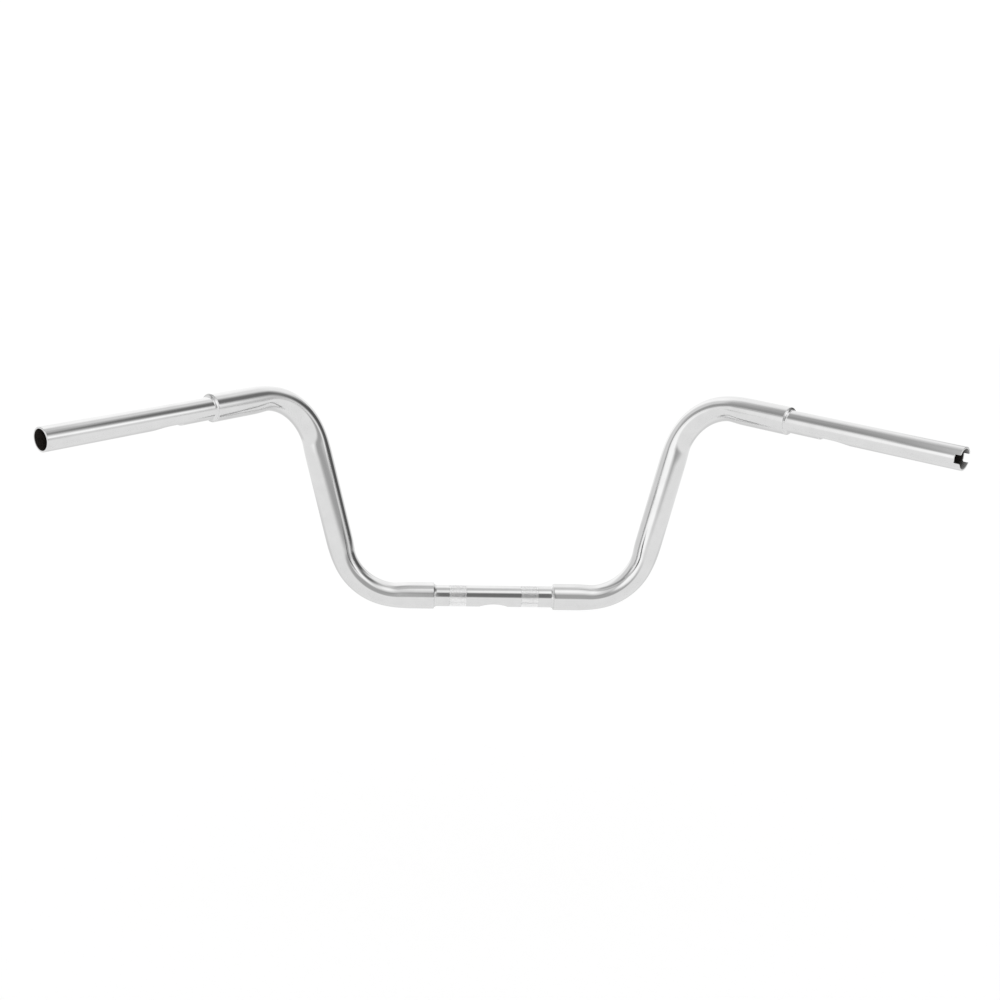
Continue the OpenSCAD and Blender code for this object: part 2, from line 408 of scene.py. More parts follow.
def knurl_tree() -> NodeTree:
    """Tree that makes a sleeve of diamond pyramids around the X axis.

    Returns:
        The Geometry Nodes tree.
    """
    tree = new_geometry_tree("diamond knurl", [
        ("Radius", "NodeSocketFloat", 12.7 * MM), ("Depth", "NodeSocketFloat", 0.5 * MM),
        ("Length", "NodeSocketFloat", 21 * MM), ("Centre", "NodeSocketFloat", 0.0),
        ("Diamonds", "NodeSocketInt", 40), ("Rows", "NodeSocketInt", 12), ("Steps", "NodeSocketInt", 10),
        ("Root", "NodeSocketFloat", 0.8 * MM), ("Crest", "NodeSocketFloat", 5.0),
        ("Metal", "NodeSocketMaterial", None)])
    b = TreeBuilder(tree)
    into = b.add("NodeGroupInput").outputs
    around = b.math("MULTIPLY", into["Diamonds"], into["Steps"])
    along = b.math("MULTIPLY", b.math("MULTIPLY", into["Rows"], 0.5), into["Steps"])
    # The first ring and the last two lie under the band and close it underneath
    grid, ring, step = ring_grid(b, b.math("ADD", along, 5.0), around)
    raw = b.math("SUBTRACT", ring, 1.0)
    row = b.math("MINIMUM", b.math("MAXIMUM", raw, 0.0), along)
    past = b.math("GREATER_THAN", raw, b.math("ADD", along, 0.5))
    under = b.math("MAXIMUM", b.math("LESS_THAN", raw, -0.5), past)
    back = b.math("GREATER_THAN", raw, b.math("ADD", along, 1.5))
    row = b.math("MULTIPLY", row, b.math("SUBTRACT", 1.0, back))
    turn = b.math("DIVIDE", step, into["Steps"])
    climb = b.math("DIVIDE", row, into["Steps"])

    def ridge(value: NodeSocket) -> NodeSocket:
        """Height between two grooves, which run at whole numbers."""
        part = b.math("FRACT", b.math("ADD", value, ABOVE_ZERO))
        return b.math("SUBTRACT", 1.0, b.math("ABSOLUTE", b.math("MULTIPLY_ADD", part, 2.0, -1.0)))

    height = b.math("MINIMUM", ridge(b.math("ADD", turn, climb)), ridge(b.math("SUBTRACT", turn, climb)))
    crest = b.math("MINIMUM", b.math("MULTIPLY", height, into["Crest"]), 1.0)
    drop = b.math("MULTIPLY", into["Depth"], b.math("SUBTRACT", 1.0, crest))
    face = b.math("MULTIPLY", b.math("SUBTRACT", into["Radius"], drop), b.math("SUBTRACT", 1.0, under))
    root = b.math("MULTIPLY", b.math("SUBTRACT", into["Radius"], into["Root"]), under)
    radius = b.math("ADD", face, root)
    angle = b.math("MULTIPLY", b.math("DIVIDE", step, around), 2 * math.pi)
    share = b.math("SUBTRACT", b.math("DIVIDE", row, along), 0.5)
    place = b.add("ShaderNodeCombineXYZ", {
        "X": b.math("ADD", into["Centre"], b.math("MULTIPLY", into["Length"], share)),
        "Y": b.math("MULTIPLY", radius, b.math("COSINE", angle)),
        "Z": b.math("MULTIPLY", radius, b.math("SINE", angle))})
    b.add("NodeGroupOutput", {"Geometry": rolled_up(b, grid, place.outputs[0], into["Metal"], False)})
    return tree


def grown(name: str, start: Mesh, tree: NodeTree, values: dict[str, object]) -> Object:
    """Runs a Geometry Nodes tree on a start mesh and keeps the plain result.

    Args:
        name: Name of the new object.
        start: Mesh that goes into the tree.
        tree: The Geometry Nodes tree.
        values: Values of the tree's inputs, by name.

    Returns:
        An object with a plain mesh at the origin, with no modifier.
    """
    seed = in_scene(name + "_seed", start)
    modifier = seed.modifiers.new("grow", "NODES")
    modifier.node_group = tree
    ids = {s.name: s.identifier for s in tree.interface.items_tree
           if s.item_type == "SOCKET" and s.in_out == "INPUT"}
    for label, value in values.items():
        modifier[ids[label]] = value
    bpy.context.view_layer.update()
    graph = bpy.context.evaluated_depsgraph_get()
    mesh = bpy.data.meshes.new_from_object(
        seed.evaluated_get(graph), preserve_all_data_layers=True, depsgraph=graph)
    seed.modifiers.remove(modifier)
    bpy.data.objects.remove(seed)
    mesh.name = name
    face_outwards(mesh)
    drop_empty_slots(mesh)
    if INNER_WALL in mesh.attributes:
        mesh.attributes.remove(mesh.attributes[INNER_WALL])
    return in_scene(name, mesh)


def drop_empty_slots(mesh: Mesh) -> None:
    """Takes away material slots with nothing in them and renumbers the faces' slots.

    Args:
        mesh: The mesh, which is changed.
    """
    kept = [i for i, material in enumerate(mesh.materials) if material is not None]
    found = [mesh.materials[i] for i in kept]
    numbers = np.zeros(len(mesh.polygons), dtype=np.int32)
    mesh.polygons.foreach_get("material_index", numbers)
    new_number = np.zeros(len(mesh.materials), dtype=np.int32)
    new_number[kept] = np.arange(len(kept))
    mesh.materials.clear()
    for material in found:
        mesh.materials.append(material)
    mesh.polygons.foreach_set("material_index", new_number[numbers])


def face_outwards(mesh: Mesh) -> None:
    """Makes all faces of a closed mesh point outwards.

    Args:
        mesh: The mesh, which is changed.
    """
    work = bmesh.new()
    work.from_mesh(mesh)
    bmesh.ops.recalc_face_normals(work, faces=work.faces)
    work.to_mesh(mesh)
    work.free()


def station_mesh(name: str, stations: list[Station]) -> Mesh:
    """A mesh of loose points that carry the stations' values.

    Args:
        name: Name of the piece that the points are for.
        stations: The rings, in order.

    Returns:
        The points, with one attribute for each value of a station.
    """
    mesh = bpy.data.meshes.new(name + "_stations")
    mesh.from_pydata([tuple(s.centre) for s in stations], [], [])
    kinds = dict.fromkeys(("centre", "across", "beside", "squeeze_dir"), ("FLOAT_VECTOR", "vector"))
    kinds |= dict.fromkeys(("radius", "squeeze", "ripple", "inside"), ("FLOAT", "value"))
    for label, (kind, part) in kinds.items():
        values = np.array([getattr(s, label) for s in stations], np.float32)
        mesh.attributes.new(label, kind, "POINT").data.foreach_set(part, values.ravel())
    return mesh


@dataclass
class RingSkin:
    """A piece of one side whose skin the ring skin tree spans over rings."""

    side: Side

    @property
    def name(self) -> str:
        """Name of the piece."""
        raise NotImplementedError

    def stations(self) -> list[Station]:
        """All rings of the skin, in order."""
        raise NotImplementedError

    def build(self, tree: NodeTree, metal: Material, bore: Material) -> Object:
        """Makes the piece.

        Args:
            tree: The ring skin tree.
            metal: Material of the outside.
            bore: Material of the inside, where the piece has one.

        Returns:
            The finished piece as a plain mesh at the origin.
        """
        rings = self.stations()
        return grown(self.name, station_mesh(self.name, rings), tree, {
            "Sides": self.sides, "Stations": len(rings), "Ripples": self.ripples, "Metal": metal,
            "Bore": bore})


@dataclass
class RiserTube(RingSkin):
    """A fat tube with a lower and an upper bend, flattened a little where it is bent."""

    sizes: BarSizes = SIZES
    squeeze: float = 0.088
    ease: float = 14 * MM
    bend_step: float = 2.2 * MM
    straight_step: float = 5 * MM
    straight_margin: float = 3 * MM
    end_rings: tuple[float, ...] = (0.4 * MM, 1.2 * MM)
    sides: int = 144
    ripples: float = 0.0
    rim_steps: int = 6
    skin_inset: float = 0.04 * MM
    rim_clear: float = 1.05
    rim_face: tuple[float, float] = (0.02, 1.1)
    mouth: float = 0.1 * MM
    bore_margin: float = 2 * MM

    @property
    def name(self) -> str:
        """Name of the piece."""
        return f"{self.side.name.lower()}_riser_skin"

    @property
    def skin_r(self) -> float:
        """Radius of the skin, a hair inside the construction's polygons."""
        return self.sizes.riser_r - self.skin_inset

    def path(self) -> list[tuple[str, float, np.ndarray, np.ndarray]]:
        """The stretches of the axis.

        Returns:
            For each stretch its kind, its length or radius, and the directions before and after.
        """
        s = self.sizes
        x_dir, up, out = np.array([1.0, 0, 0]), s.riser_dir(), s.grip_dir()
        lower = s.lower_bend_r * math.tan(math.acos(x_dir @ up) / 2)
        upper = s.upper_bend_r * math.tan(math.acos(up @ out) / 2)
        return [
            ("straight", s.corner_spread / 2 - lower - s.clamp_len / 2, x_dir, x_dir),
            ("bend", s.lower_bend_r, x_dir, up),
            ("straight", s.rise / math.cos(s.lean) - lower - upper, up, up),
            ("bend", s.upper_bend_r, up, out),
            ("straight", s.corner_to_end - upper - s.grip_len, out, out),
        ]

    def axis_stations(self) -> list[tuple[float, Station]]:
        """Rings for every step of the axis.

        Returns:
            Each ring's distance along the axis, and the ring, flattened where the tube is bent.
        """
        s = self.sizes
        here = np.array([s.clamp_len / 2, 0, 0])
        across, beside = np.array([0, 0, 1.0]), np.array([0, -1.0, 0])
        run, rings, bends = 0.0, [], []
        for kind, size, before, after in self.path():
            if kind == "straight":
                near = {0.0, *self.end_rings}
                count = max(2, int(size / self.straight_step))
                even = np.linspace(self.straight_margin, size - self.straight_margin, count)
                for d in sorted(near | {size - d for d in near} | set(even)):
                    rings.append((run + d, Station(here + before * d, across, beside, self.skin_r)))
                here, run = here + before * size, run + size
                continue
            turn_axis, angle = unit(np.cross(before, after)), math.acos(before @ after)
            middle = here + np.cross(turn_axis, before) * size
            count = int(size * angle / self.bend_step)
            start = (here - middle, across, beside)
            for i in range(1, count):
                turn = np.array(Matrix.Rotation(angle * i / count, 3, Vector(turn_axis)))
                arm, a, b = (turn @ v for v in start)
                ring = Station(middle + arm, a, b, self.skin_r, unit(arm))
                rings.append((run + size * angle * i / count, ring))
            turn = np.array(Matrix.Rotation(angle, 3, Vector(turn_axis)))
            arm, across, beside = (turn @ v for v in start)
            bends.append((run, run + size * angle, unit(start[0]), unit(arm)))
            here, run = middle + arm, run + size * angle
        self.flatten(rings, bends)
        return rings

    def flatten(self, rings: list[tuple[float, Station]],
                bends: list[tuple[float, float, np.ndarray, np.ndarray]]) -> None:
        """Flattens the rings of the bends, and eases that out into the straight stretches.

        Args:
            rings: Distance along the axis and ring, which is changed.
            bends: Where each bend starts and ends, and the outward directions there.
        """
        for d, ring in rings:
            for low, high, first, last in bends:
                if low - self.ease <= d <= high + self.ease:
                    rise = smooth((d - low + self.ease) / (2 * self.ease))
                    ring.squeeze = self.squeeze * rise * smooth((high + self.ease - d) / (2 * self.ease))
                    if d <= low or d >= high:
                        ring.squeeze_dir = first if d <= low else last

    def rim(self, base: Station, outwards: np.ndarray) -> list[Station]:
        """Rings round one rim.

        Args:
            base: The ring at the tube's end.
            outwards: Direction out of that end.

        Returns:
            Rings from the outer skin inwards.
        """
        s, edge = self.sizes, self.sizes.riser_edge
        profile = []
        for i in range(self.rim_steps + 1):
            t = math.pi / 2 * i / self.rim_steps
            profile.append((edge * (1 - math.sin(t)), self.skin_r - edge * (1 - math.cos(t)), False))
        back, inwards = self.rim_face
        profile += [(edge * back, self.skin_r - edge * inwards, False),
                    (0.0, s.riser_bore_r + self.mouth, False), (self.mouth, s.riser_bore_r, True)]
        return [Station(base.centre - outwards * back, base.across, base.beside, r, inside=inside)
                for back, r, inside in profile]

    def stations(self) -> list[Station]:
        """All rings of the skin.

        Returns:
            The rings of the near rim, the outside, the far rim and the inside, and the first once more.
        """
        s, rings = self.sizes, self.axis_stations()
        edge, total = s.riser_edge * self.rim_clear, rings[-1][0]
        near = self.rim(rings[0][1], np.array([-1.0, 0, 0]))
        far = self.rim(rings[-1][1], s.grip_dir())
        outer = [r for d, r in rings if edge < d < total - edge]
        margin = self.bore_margin
        inner = [replace(r, radius=s.riser_bore_r, inside=True)
                 for d, r in reversed(rings) if margin < d < total - margin]
        skin = near[::-1] + outer + far + inner + near[-1:]
        flip = np.array([self.side.value, 1, 1])
        return [replace(r, centre=r.centre * flip, across=r.across * flip, beside=r.beside * flip,
                        squeeze_dir=r.squeeze_dir * flip) for r in skin]


@dataclass
class WeldFillet(RingSkin):
    """A weld's hollow face round a step, with the faint unevenness of a ground and plated bead."""

    at_grip: bool
    sizes: BarSizes = SIZES
    hollow: float = 0.45 * MM
    ripple: float = 0.035 * MM
    ripples: float = 34.0
    sides: int = 204
    face_steps: int = 12
    tuck: float = 0.02 * MM
    under_gap: float = 0.05 * MM
    start_dir: tuple[float, float, float] = (0.0, 1.0, 0.3)

    @property
    def name(self) -> str:
        """Name of the piece."""
        return f"{self.side.name.lower()}_{'grip' if self.at_grip else 'clamp'}_bead"

    def stations(self) -> list[Station]:
        """Rings round the bead.

        Returns:
            The rings of its face and of its hidden underside, and the first once more.
        """
        s = self.sizes
        along, foot = np.array([-1.0, 0, 0]), np.array([s.clamp_len / 2, 0, 0])
        if self.at_grip:
            along, foot = s.grip_dir(), s.grip_end() - s.grip_dir() * s.grip_len
        across = unit(np.cross(along, self.start_dir))
        beside = np.cross(along, across)
        low, high = s.riser_r - s.riser_edge, s.tube_r
        chord = math.hypot(high - low, s.weld_len)
        profile = []
        for i in range(self.face_steps + 1):
            t = i / self.face_steps
            dip = self.hollow * 4 * t * (1 - t)
            r = low + (high - low) * t - dip * s.weld_len / chord
            z = s.weld_len * t - dip * (low - high) / chord
            profile.append((max(r, s.tube_r), max(z, self.tuck), self.ripple * math.sin(math.pi * t)))
        under = s.spigot_r + self.under_gap
        profile += [(under, s.weld_len - self.tuck, 0.0), (under, self.tuck, 0.0)]
        flip = np.array([self.side.value, 1, 1])
        rings = [Station((foot + along * z) * flip, across * flip, beside * flip, r, ripple=w)
                 for r, z, w in profile]
        return rings + rings[:1]


def spread(line: np.ndarray, count: int, pull: float = 1.6 * MM, window: int = 9) -> np.ndarray:
    """Points along a line, closer together where it turns.

    Args:
        line: Points of a dense line.
        count: Steps between the first and the last point given back.
        pull: Extra length that a turn of one radian counts for.
        window: How many points a turn is spread over.

    Returns:
        count + 1 points, both ends included.
    """
    step = np.diff(line, axis=0)
    length = np.linalg.norm(step, axis=1)
    heading = np.unwrap(np.arctan2(step[:, 1], step[:, 0]))
    turn = np.zeros(len(line))
    turn[1:-1] = np.abs(np.diff(heading))
    soft = np.convolve(turn, np.ones(window) / window, mode="same")
    weight = np.concatenate([[0], np.cumsum(length + pull * (soft[1:] + soft[:-1]) / 2)])
    want = np.linspace(0, weight[-1], count + 1)
    return np.stack([np.interp(want, weight, line[:, k]) for k in (0, 1)], axis=1)


def corner_arc(x: float, y: float, r: float, a0: float, a1: float) -> np.ndarray:
    """Dense points of an arc, with its angles in degrees."""
    a = np.radians(np.linspace(a0, a1, ARC_POINTS))
    return np.stack([x + r * np.cos(a), y + r * np.sin(a)], axis=1)


@dataclass
class SideHole:
    """A hole cut straight through one side of a tube, with its middle at +X of the frame turned by lean."""

    quarters: list[np.ndarray]
    middle: float
    lean: float
    half_angle: float
    low: float
    high: float


@dataclass(frozen=True)
class WireSlot:
    """The wire slot under a grip: a long rounded tip outboard and a square end inboard."""

    length: float = 38 * MM
    half_width: float = 7 * MM
    corner_r: float = 1.5 * MM
    from_end: float = 125 * MM
    tip_share: float = 0.6
    lean: float = -math.radians(6)
    half_field: float = math.radians(57)
    field_margin: float = 8 * MM

    def hole(self) -> SideHole:
        """Draws the slot.

        Returns:
            The slot as four quarters of an outline, each running anticlockwise.
        """
        half, r, tip = self.half_width, self.corner_r, self.length * self.tip_share
        mid, foot = -self.from_end - tip, -self.from_end - self.length
        a = np.linspace(0, math.pi / 2, QUARTER_POINTS)
        first = np.stack([half * np.cos(a), mid + tip * np.sin(a)], axis=1)
        third = np.concatenate([[[-half, mid]], np.linspace([-half, mid], [-half, foot + r], LINE_POINTS),
                                corner_arc(-half + r, foot + r, r, 180, 270),
                                np.linspace([-half + r, foot], [0, foot], LINE_POINTS)])
        quarters = [first, first[::-1] * [-1, 1], third, third[::-1] * [-1, 1]]
        return SideHole(quarters, mid, self.lean, self.half_field, foot - self.field_margin,
                        -self.from_end + self.field_margin)


@dataclass(frozen=True)
class ExitOval:
    """The oval hole under the clamp tube, where the wires come out."""

    half_length: float = 17.5 * MM
    half_width: float = 8 * MM
    half_field: float = math.radians(60)
    field_reach: float = 25 * MM

    def hole(self) -> SideHole:
        """Draws the oval.

        Returns:
            The oval as four quarters of an outline, each running anticlockwise.
        """
        quarters = []
        for k in range(4):
            a = np.linspace(k * math.pi / 2, (k + 1) * math.pi / 2, QUARTER_POINTS)
            quarters.append(np.stack([self.half_width * np.cos(a), self.half_length * np.sin(a)], axis=1))
        return SideHole(quarters, 0.0, 0.0, self.half_field, -self.field_reach, self.field_reach)


@dataclass(frozen=True)
class EndNotch:
    """The two notches across an open end, with their roundings at foot and lip."""

    half_width: float = 4.5 * MM
    depth: float = 6 * MM
    foot_r: float = 1.0 * MM
    lip_r: float = 0.6 * MM
    half_field: float = math.radians(36)

    def profile(self, r: float, z: float) -> np.ndarray:
        """Draws one notch across the tube.

        Args:
            r: Radius of the wall.
            z: Height of the tube's end.

        Returns:
            Dense points over the notch: length round the wall from the notch's middle, and height.
        """
        half, lip, foot, bottom = self.half_width, self.lip_r, self.foot_r, z - self.depth
        edge = math.asin(min(1.0, (half + lip) / r)) * r
        line = np.concatenate([
            np.linspace([-self.half_field * r, z], [-edge, z], LINE_POINTS)[:-1],
            corner_arc(-half - lip, z - lip, lip, 90, 0),
            np.linspace([-half, z - lip], [-half, bottom + foot], LINE_POINTS),
            corner_arc(-half + foot, bottom + foot, foot, 180, 270),
            np.linspace([-half + foot, bottom], [0, bottom], LINE_POINTS)])
        cut = np.abs(line[:, 0]) <= half + lip + TINY
        line[cut, 0] = np.arcsin(np.clip(line[cut, 0] / r, -1, 1)) * r
        line = line[np.concatenate([[True], np.linalg.norm(np.diff(line, axis=0), axis=1) > ON_WALL])]
        return np.concatenate([line, line[::-1][1:] * [-1, 1]])


class WallMesh:
    """Collects the rings and faces of a tube's walls in the tube's own frame, with +Z along its axis."""

    def __init__(self) -> None:
        """Starts with nothing."""
        self.points: list[tuple[float, float, float]] = []
        self.faces: list[tuple[int, ...]] = []

    def row(self, points: np.ndarray) -> list[int]:
        """Adds a row of points.

        Args:
            points: Places of the points.

        Returns:
            The numbers of the new points.
        """
        start = len(self.points)
        self.points.extend(map(tuple, points))
        return list(range(start, start + len(points)))

    def span(self, rows: list[list[int]], closed: bool = True) -> None:
        """Joins each row of points to the next with quads.

        Args:
            rows: Numbers of the points, row by row.
            closed: Whether the last point of a row is joined to its first.
        """
        for a, b in zip(rows, rows[1:]):
            n = len(a)
            for i in range(n if closed else n - 1):
                j = (i + 1) % n
                self.faces.append((a[i], a[j], b[j], b[i]))


def ring_at(angles: np.ndarray, z: float) -> np.ndarray:
    """Angle and height of each point of a ring round a wall."""
    return np.stack([angles, np.full(len(angles), z)], axis=1)


def on_wall(r: float, line: np.ndarray, drop: float = 0.0) -> np.ndarray:
    """Places of points that are given by angle and height on the wall of radius r, or a drop under it."""
    return np.stack([(r - drop) * np.cos(line[:, 0]), (r - drop) * np.sin(line[:, 0]), line[:, 1]], axis=1)


def moved(r: float, line: np.ndarray, way: np.ndarray, by: float) -> np.ndarray:
    """Angles and heights on the wall of radius r after a move along unit directions in the wall."""
    return np.stack([line[:, 0] + way[:, 0] * by / r, line[:, 1] + way[:, 1] * by], axis=1)


def away(r: float, outline: np.ndarray, sign: float) -> np.ndarray:
    """Unit directions across a closed outline.

    Args:
        r: Radius of the wall that it lies on.
        outline: Angle and height of its points.
        sign: 1 for the left of its run, -1 for the right.

    Returns:
        One direction in the wall for each point.
    """
    flat = np.stack([outline[:, 0] * r, outline[:, 1]], axis=1)
    run = np.roll(flat, -1, 0) - np.roll(flat, 1, 0)
    once_round = 2 * math.pi * r
    run[:, 0] -= np.round(run[:, 0] / once_round) * once_round
    run /= np.linalg.norm(run, axis=1)[:, None]
    return np.stack([-run[:, 1], run[:, 0]], axis=1) * sign


def vertex_vectors(mesh: Mesh, label: str) -> np.ndarray:
    """Reads one vector of every vertex.

    Args:
        mesh: The mesh.
        label: Blender's name of the vector, such as co or normal.

    Returns:
        One row for each vertex.
    """
    found = np.zeros(len(mesh.vertices) * 3)
    mesh.vertices.foreach_get(label, found)
    return found.reshape(-1, 3)


@dataclass
class ThinTube:
    """A thin tube with rounded rims, and a hole in its side whose edge is rounded too."""

    name: str
    sizes: BarSizes
    low: float
    high: float
    place: Matrix
    hole: SideHole
    end: OpenEnd = OpenEnd.PLAIN
    notch: EndNotch = EndNotch()
    recesses: tuple[tuple[float, float, float], ...] = ()
    round_low: float = 0.3 * MM
    round_high: float = 0.5 * MM
    round_hole: float = 0.32 * MM
    around: int = 240
    plated_depth: float = 8 * MM
    field_cells: int = 22
    row_pitch: float = 4 * MM
    plain_margin: float = 2 * MM
    notched_margin: float = 14 * MM
    field_rows: int = 13
    end_rows: int = 9
    flat_rim: float = 1.5
    round_steps: int = 7
    recess_gap: float = 0.5 * MM
    recess_shoulder: float = 0.3 * MM
    recess_ramp: float = 0.2 * MM
    rim_depth: float = 0.35 * MM

    @property
    def radii(self) -> tuple[float, float]:
        """Radii of the outer wall and of the bore."""
        return self.sizes.tube_r, self.sizes.bore_r

    def edge_rows(self, outline: list[np.ndarray], into: list[np.ndarray],
                  rounding: float) -> list[np.ndarray]:
        """Rows of points that carry a rounded edge from the outer wall to the bore.

        Args:
            outline: Angle and height of the edge on the outer wall and on the bore.
            into: Unit directions in each wall, away from the opening.
            rounding: Radius of the rounding.

        Returns:
            Rows from the outer wall to the bore.
        """
        sharp = [on_wall(r, line) for r, line in zip(self.radii, outline)]
        wall = sharp[1] - sharp[0]
        wall /= np.linalg.norm(wall, axis=1)[:, None]
        t = np.linspace(0, 1, self.round_steps)[:, None, None]
        rows = []
        for k, (r, line, way) in enumerate(zip(self.radii, outline, into)):
            start = on_wall(r, moved(r, line, way, rounding))
            stop = sharp[k] + wall * rounding * (1 if k == 0 else -1)
            curve = (1 - t) ** 2 * start + 2 * t * (1 - t) * sharp[k] + t**2 * stop
            rows.append(list(curve) if k == 0 else list(curve[::-1]))
        return rows[0] + rows[1]

    def end_outline(self, r: float, angles: np.ndarray, z: float) -> np.ndarray:
        """The edge of one end of the tube.

        Args:
            r: Radius of the wall that it lies on.
            angles: Angles of the wall's points.
            z: Height of the end.

        Returns:
            Angle and height of each point.
        """
        line = ring_at(angles, z)
        if self.end is not OpenEnd.NOTCHED or z < self.high:
            return line
        turn = 2 * math.pi
        around = np.mod(angles, turn)
        for middle in (turn / 4, 3 * turn / 4):
            inside = np.where(np.abs(around - middle) <= self.notch.half_field + TINY)[0]
            inside = inside[np.argsort(around[inside])]
            found = spread(self.notch.profile(r, z), len(inside) - 1)
            line[inside, 0] = middle + found[:, 0] / r
            line[inside, 1] = found[:, 1]
        line[:, 0] += np.round((angles - line[:, 0]) / turn) * turn
        return line

    def heights(self, foot: float, head: float) -> np.ndarray:
        """Heights of the plain wall's rings.

        Args:
            foot: Height of the lowest ring.
            head: Height of the highest ring.

        Returns:
            The heights, upwards, with even steps across each half of the hole's field.
        """
        hole, cells = self.hole, self.field_cells
        below = np.linspace(foot, hole.low, max(2, int((hole.low - foot) / self.row_pitch)))[:-1]
        above = np.linspace(hole.high, head, max(2, int((head - hole.high) / self.row_pitch)))[1:]
        return np.concatenate([below, np.linspace(hole.low, hole.middle, cells + 1)[:-1],
                               np.linspace(hole.middle, hole.high, cells + 1), above])

    def with_recesses(self, base: np.ndarray) -> np.ndarray:
        """Adds a shallow recess for each knurled band to the outer wall's rings.

        Args:
            base: Heights of the rings.

        Returns:
            A row of heights and a row of how far each ring lies under the wall.
        """
        found = [(z, 0.0) for z in base]
        for low, high, depth in self.recesses:
            found = [(z, d) for z, d in found if not low - self.recess_gap < z < high + self.recess_gap]
            found += [(low - self.recess_shoulder, 0.0), (low, 0.0), (low + self.recess_ramp, depth),
                      (high - self.recess_ramp, depth), (high, 0.0), (high + self.recess_shoulder, 0.0)]
        return np.array(sorted(found)).T

    def border(self, first: int, half: int) -> list[list[tuple[int, int]]]:
        """The wall's points round the hole's field.

        Args:
            first: Number of the field's lowest ring.
            half: Half the field's width, in steps round the wall.

        Returns:
            Ring and step of each point, in four runs that match the quarters of the hole.
        """
        cells, right = self.field_cells, 2 * half
        mid, last = first + cells, first + 2 * cells
        return [
            [(mid + i, right) for i in range(cells)] + [(last, right - i) for i in range(half)],
            [(last, half - i) for i in range(half)] + [(last - i, 0) for i in range(cells)],
            [(mid - i, 0) for i in range(cells)] + [(first, i) for i in range(half)],
            [(first, half + i) for i in range(half)] + [(first + i, right) for i in range(cells)],
        ]

    def mesh(self) -> Mesh:
        """Builds the tube's walls, rims and hole.

        Returns:
            One closed mesh in the row's frame.
        """
        hole, n, walls = self.hole, self.around, WallMesh()
        step = 2 * math.pi / n
        half = round(hole.half_angle / step)
        angles = hole.lean - half * step + np.arange(n) * step
        notched = self.end is OpenEnd.NOTCHED
        foot = self.low + self.plain_margin
        head = self.high - (self.notched_margin if notched else self.plain_margin)
        base = self.heights(foot, head)
        rims = (("hole", self.round_hole, -1.0, self.field_rows),
                ("low", self.round_low, 1.0, self.end_rows), ("high", self.round_high, -1.0, self.end_rows))
        loops = []
        for k, r in enumerate(self.radii):
            zs, drops = self.with_recesses(base) if k == 0 else (base, 0 * base)
            rows = [walls.row(on_wall(r, ring_at(angles, z), d)) for z, d in zip(zs, drops)]
            first = int(np.argmin(np.abs(zs - hole.low)))
            last = first + 2 * self.field_cells
            walls.span(rows[:first + 1])
            walls.span([row[2 * half:] + row[:1] for row in rows[first:last + 1]], closed=False)
            walls.span(rows[last:])
            frame_points, quarters = [], []
            for run, line in zip(self.border(first, half), hole.quarters):
                frame_points += [(hole.lean - half * step + j * step, zs[i]) for i, j in run]
                found = spread(line, len(run))[:-1]
                quarters.append(np.stack([hole.lean + np.arcsin(found[:, 0] / r), found[:, 1]], axis=1))
            starts = {"hole": np.array(frame_points), "low": ring_at(angles, foot),
                      "high": ring_at(angles, head)}
            loops.append({"hole": np.concatenate(quarters), "low": self.end_outline(r, angles, self.low),
                          "high": self.end_outline(r, angles, self.high)})
            for tag, rounding, sign, count in rims:
                line, start = loops[k][tag], starts[tag]
                way = away(r, line, sign)
                near = moved(r, line, way, rounding * self.flat_rim)
                fill = [start + (near - start) * t for t in np.linspace(0, 1, count)]
                fill.append(moved(r, line, way, rounding))
                walls.span([walls.row(on_wall(r, f)) for f in fill])
        for tag, rounding, sign, _ in rims:
            outline = [loop[tag] for loop in loops]
            into = [away(r, line, sign) for r, line in zip(self.radii, outline)]
            walls.span([walls.row(p) for p in self.edge_rows(outline, into, rounding)])
        return self.finished(walls)

    def finished(self, walls: WallMesh) -> Mesh:
        """Closes the walls, gives them their slots and true round normals, and moves them to their place.

        Args:
            walls: The walls in the tube's own frame.

        Returns:
            The mesh, with a value for how far each point is plated.
        """
        mesh = bpy.data.meshes.new(self.name)
        mesh.from_pydata(walls.points, [], walls.faces)
        work = bmesh.new()
        work.from_mesh(mesh)
        bmesh.ops.remove_doubles(work, verts=work.verts, dist=2 * ON_WALL)
        bmesh.ops.recalc_face_normals(work, faces=work.faces)
        open_edges = sum(1 for e in work.edges if len(e.link_faces) != 2)
        if open_edges:
            log.warning("%s: %d edges are open", self.name, open_edges)
        # Faces inside this radius take the bore's material, which carries painted shade
        bare = self.sizes.bore_r + self.rim_depth
        for f in work.faces:
            f.smooth = True
            f.material_index = int(all(math.hypot(v.co.x, v.co.y) < bare for v in f.verts))
        work.to_mesh(mesh)
        work.free()
        co, normals = vertex_vectors(mesh, "co"), vertex_vectors(mesh, "normal")
        reach = np.hypot(co[:, 0], co[:, 1])
        for r, sign in zip(self.radii, (1.0, -1.0)):
            on = np.abs(reach - r) < ON_WALL
            normals[on] = np.stack([co[on, 0], co[on, 1], 0 * co[on, 0]], axis=1) / reach[on, None] * sign
        plating = mesh.attributes.new("plating", "FLOAT", "POINT")
        if self.end is OpenEnd.NOTCHED:
            plating.data.foreach_set("value", np.clip(1 - (self.high - co[:, 2]) / self.plated_depth, 0, 1))
        frame_now = np.array(self.place)
        turn = frame_now[:3, :3]
        mesh.vertices.foreach_set("co", (co @ turn.T + frame_now[:3, 3]).ravel())
        if np.linalg.det(turn) < 0:
            mesh.flip_normals()
        mesh.update()
        mesh.normals_split_custom_set_from_vertices((normals @ turn.T).tolist())
        return mesh

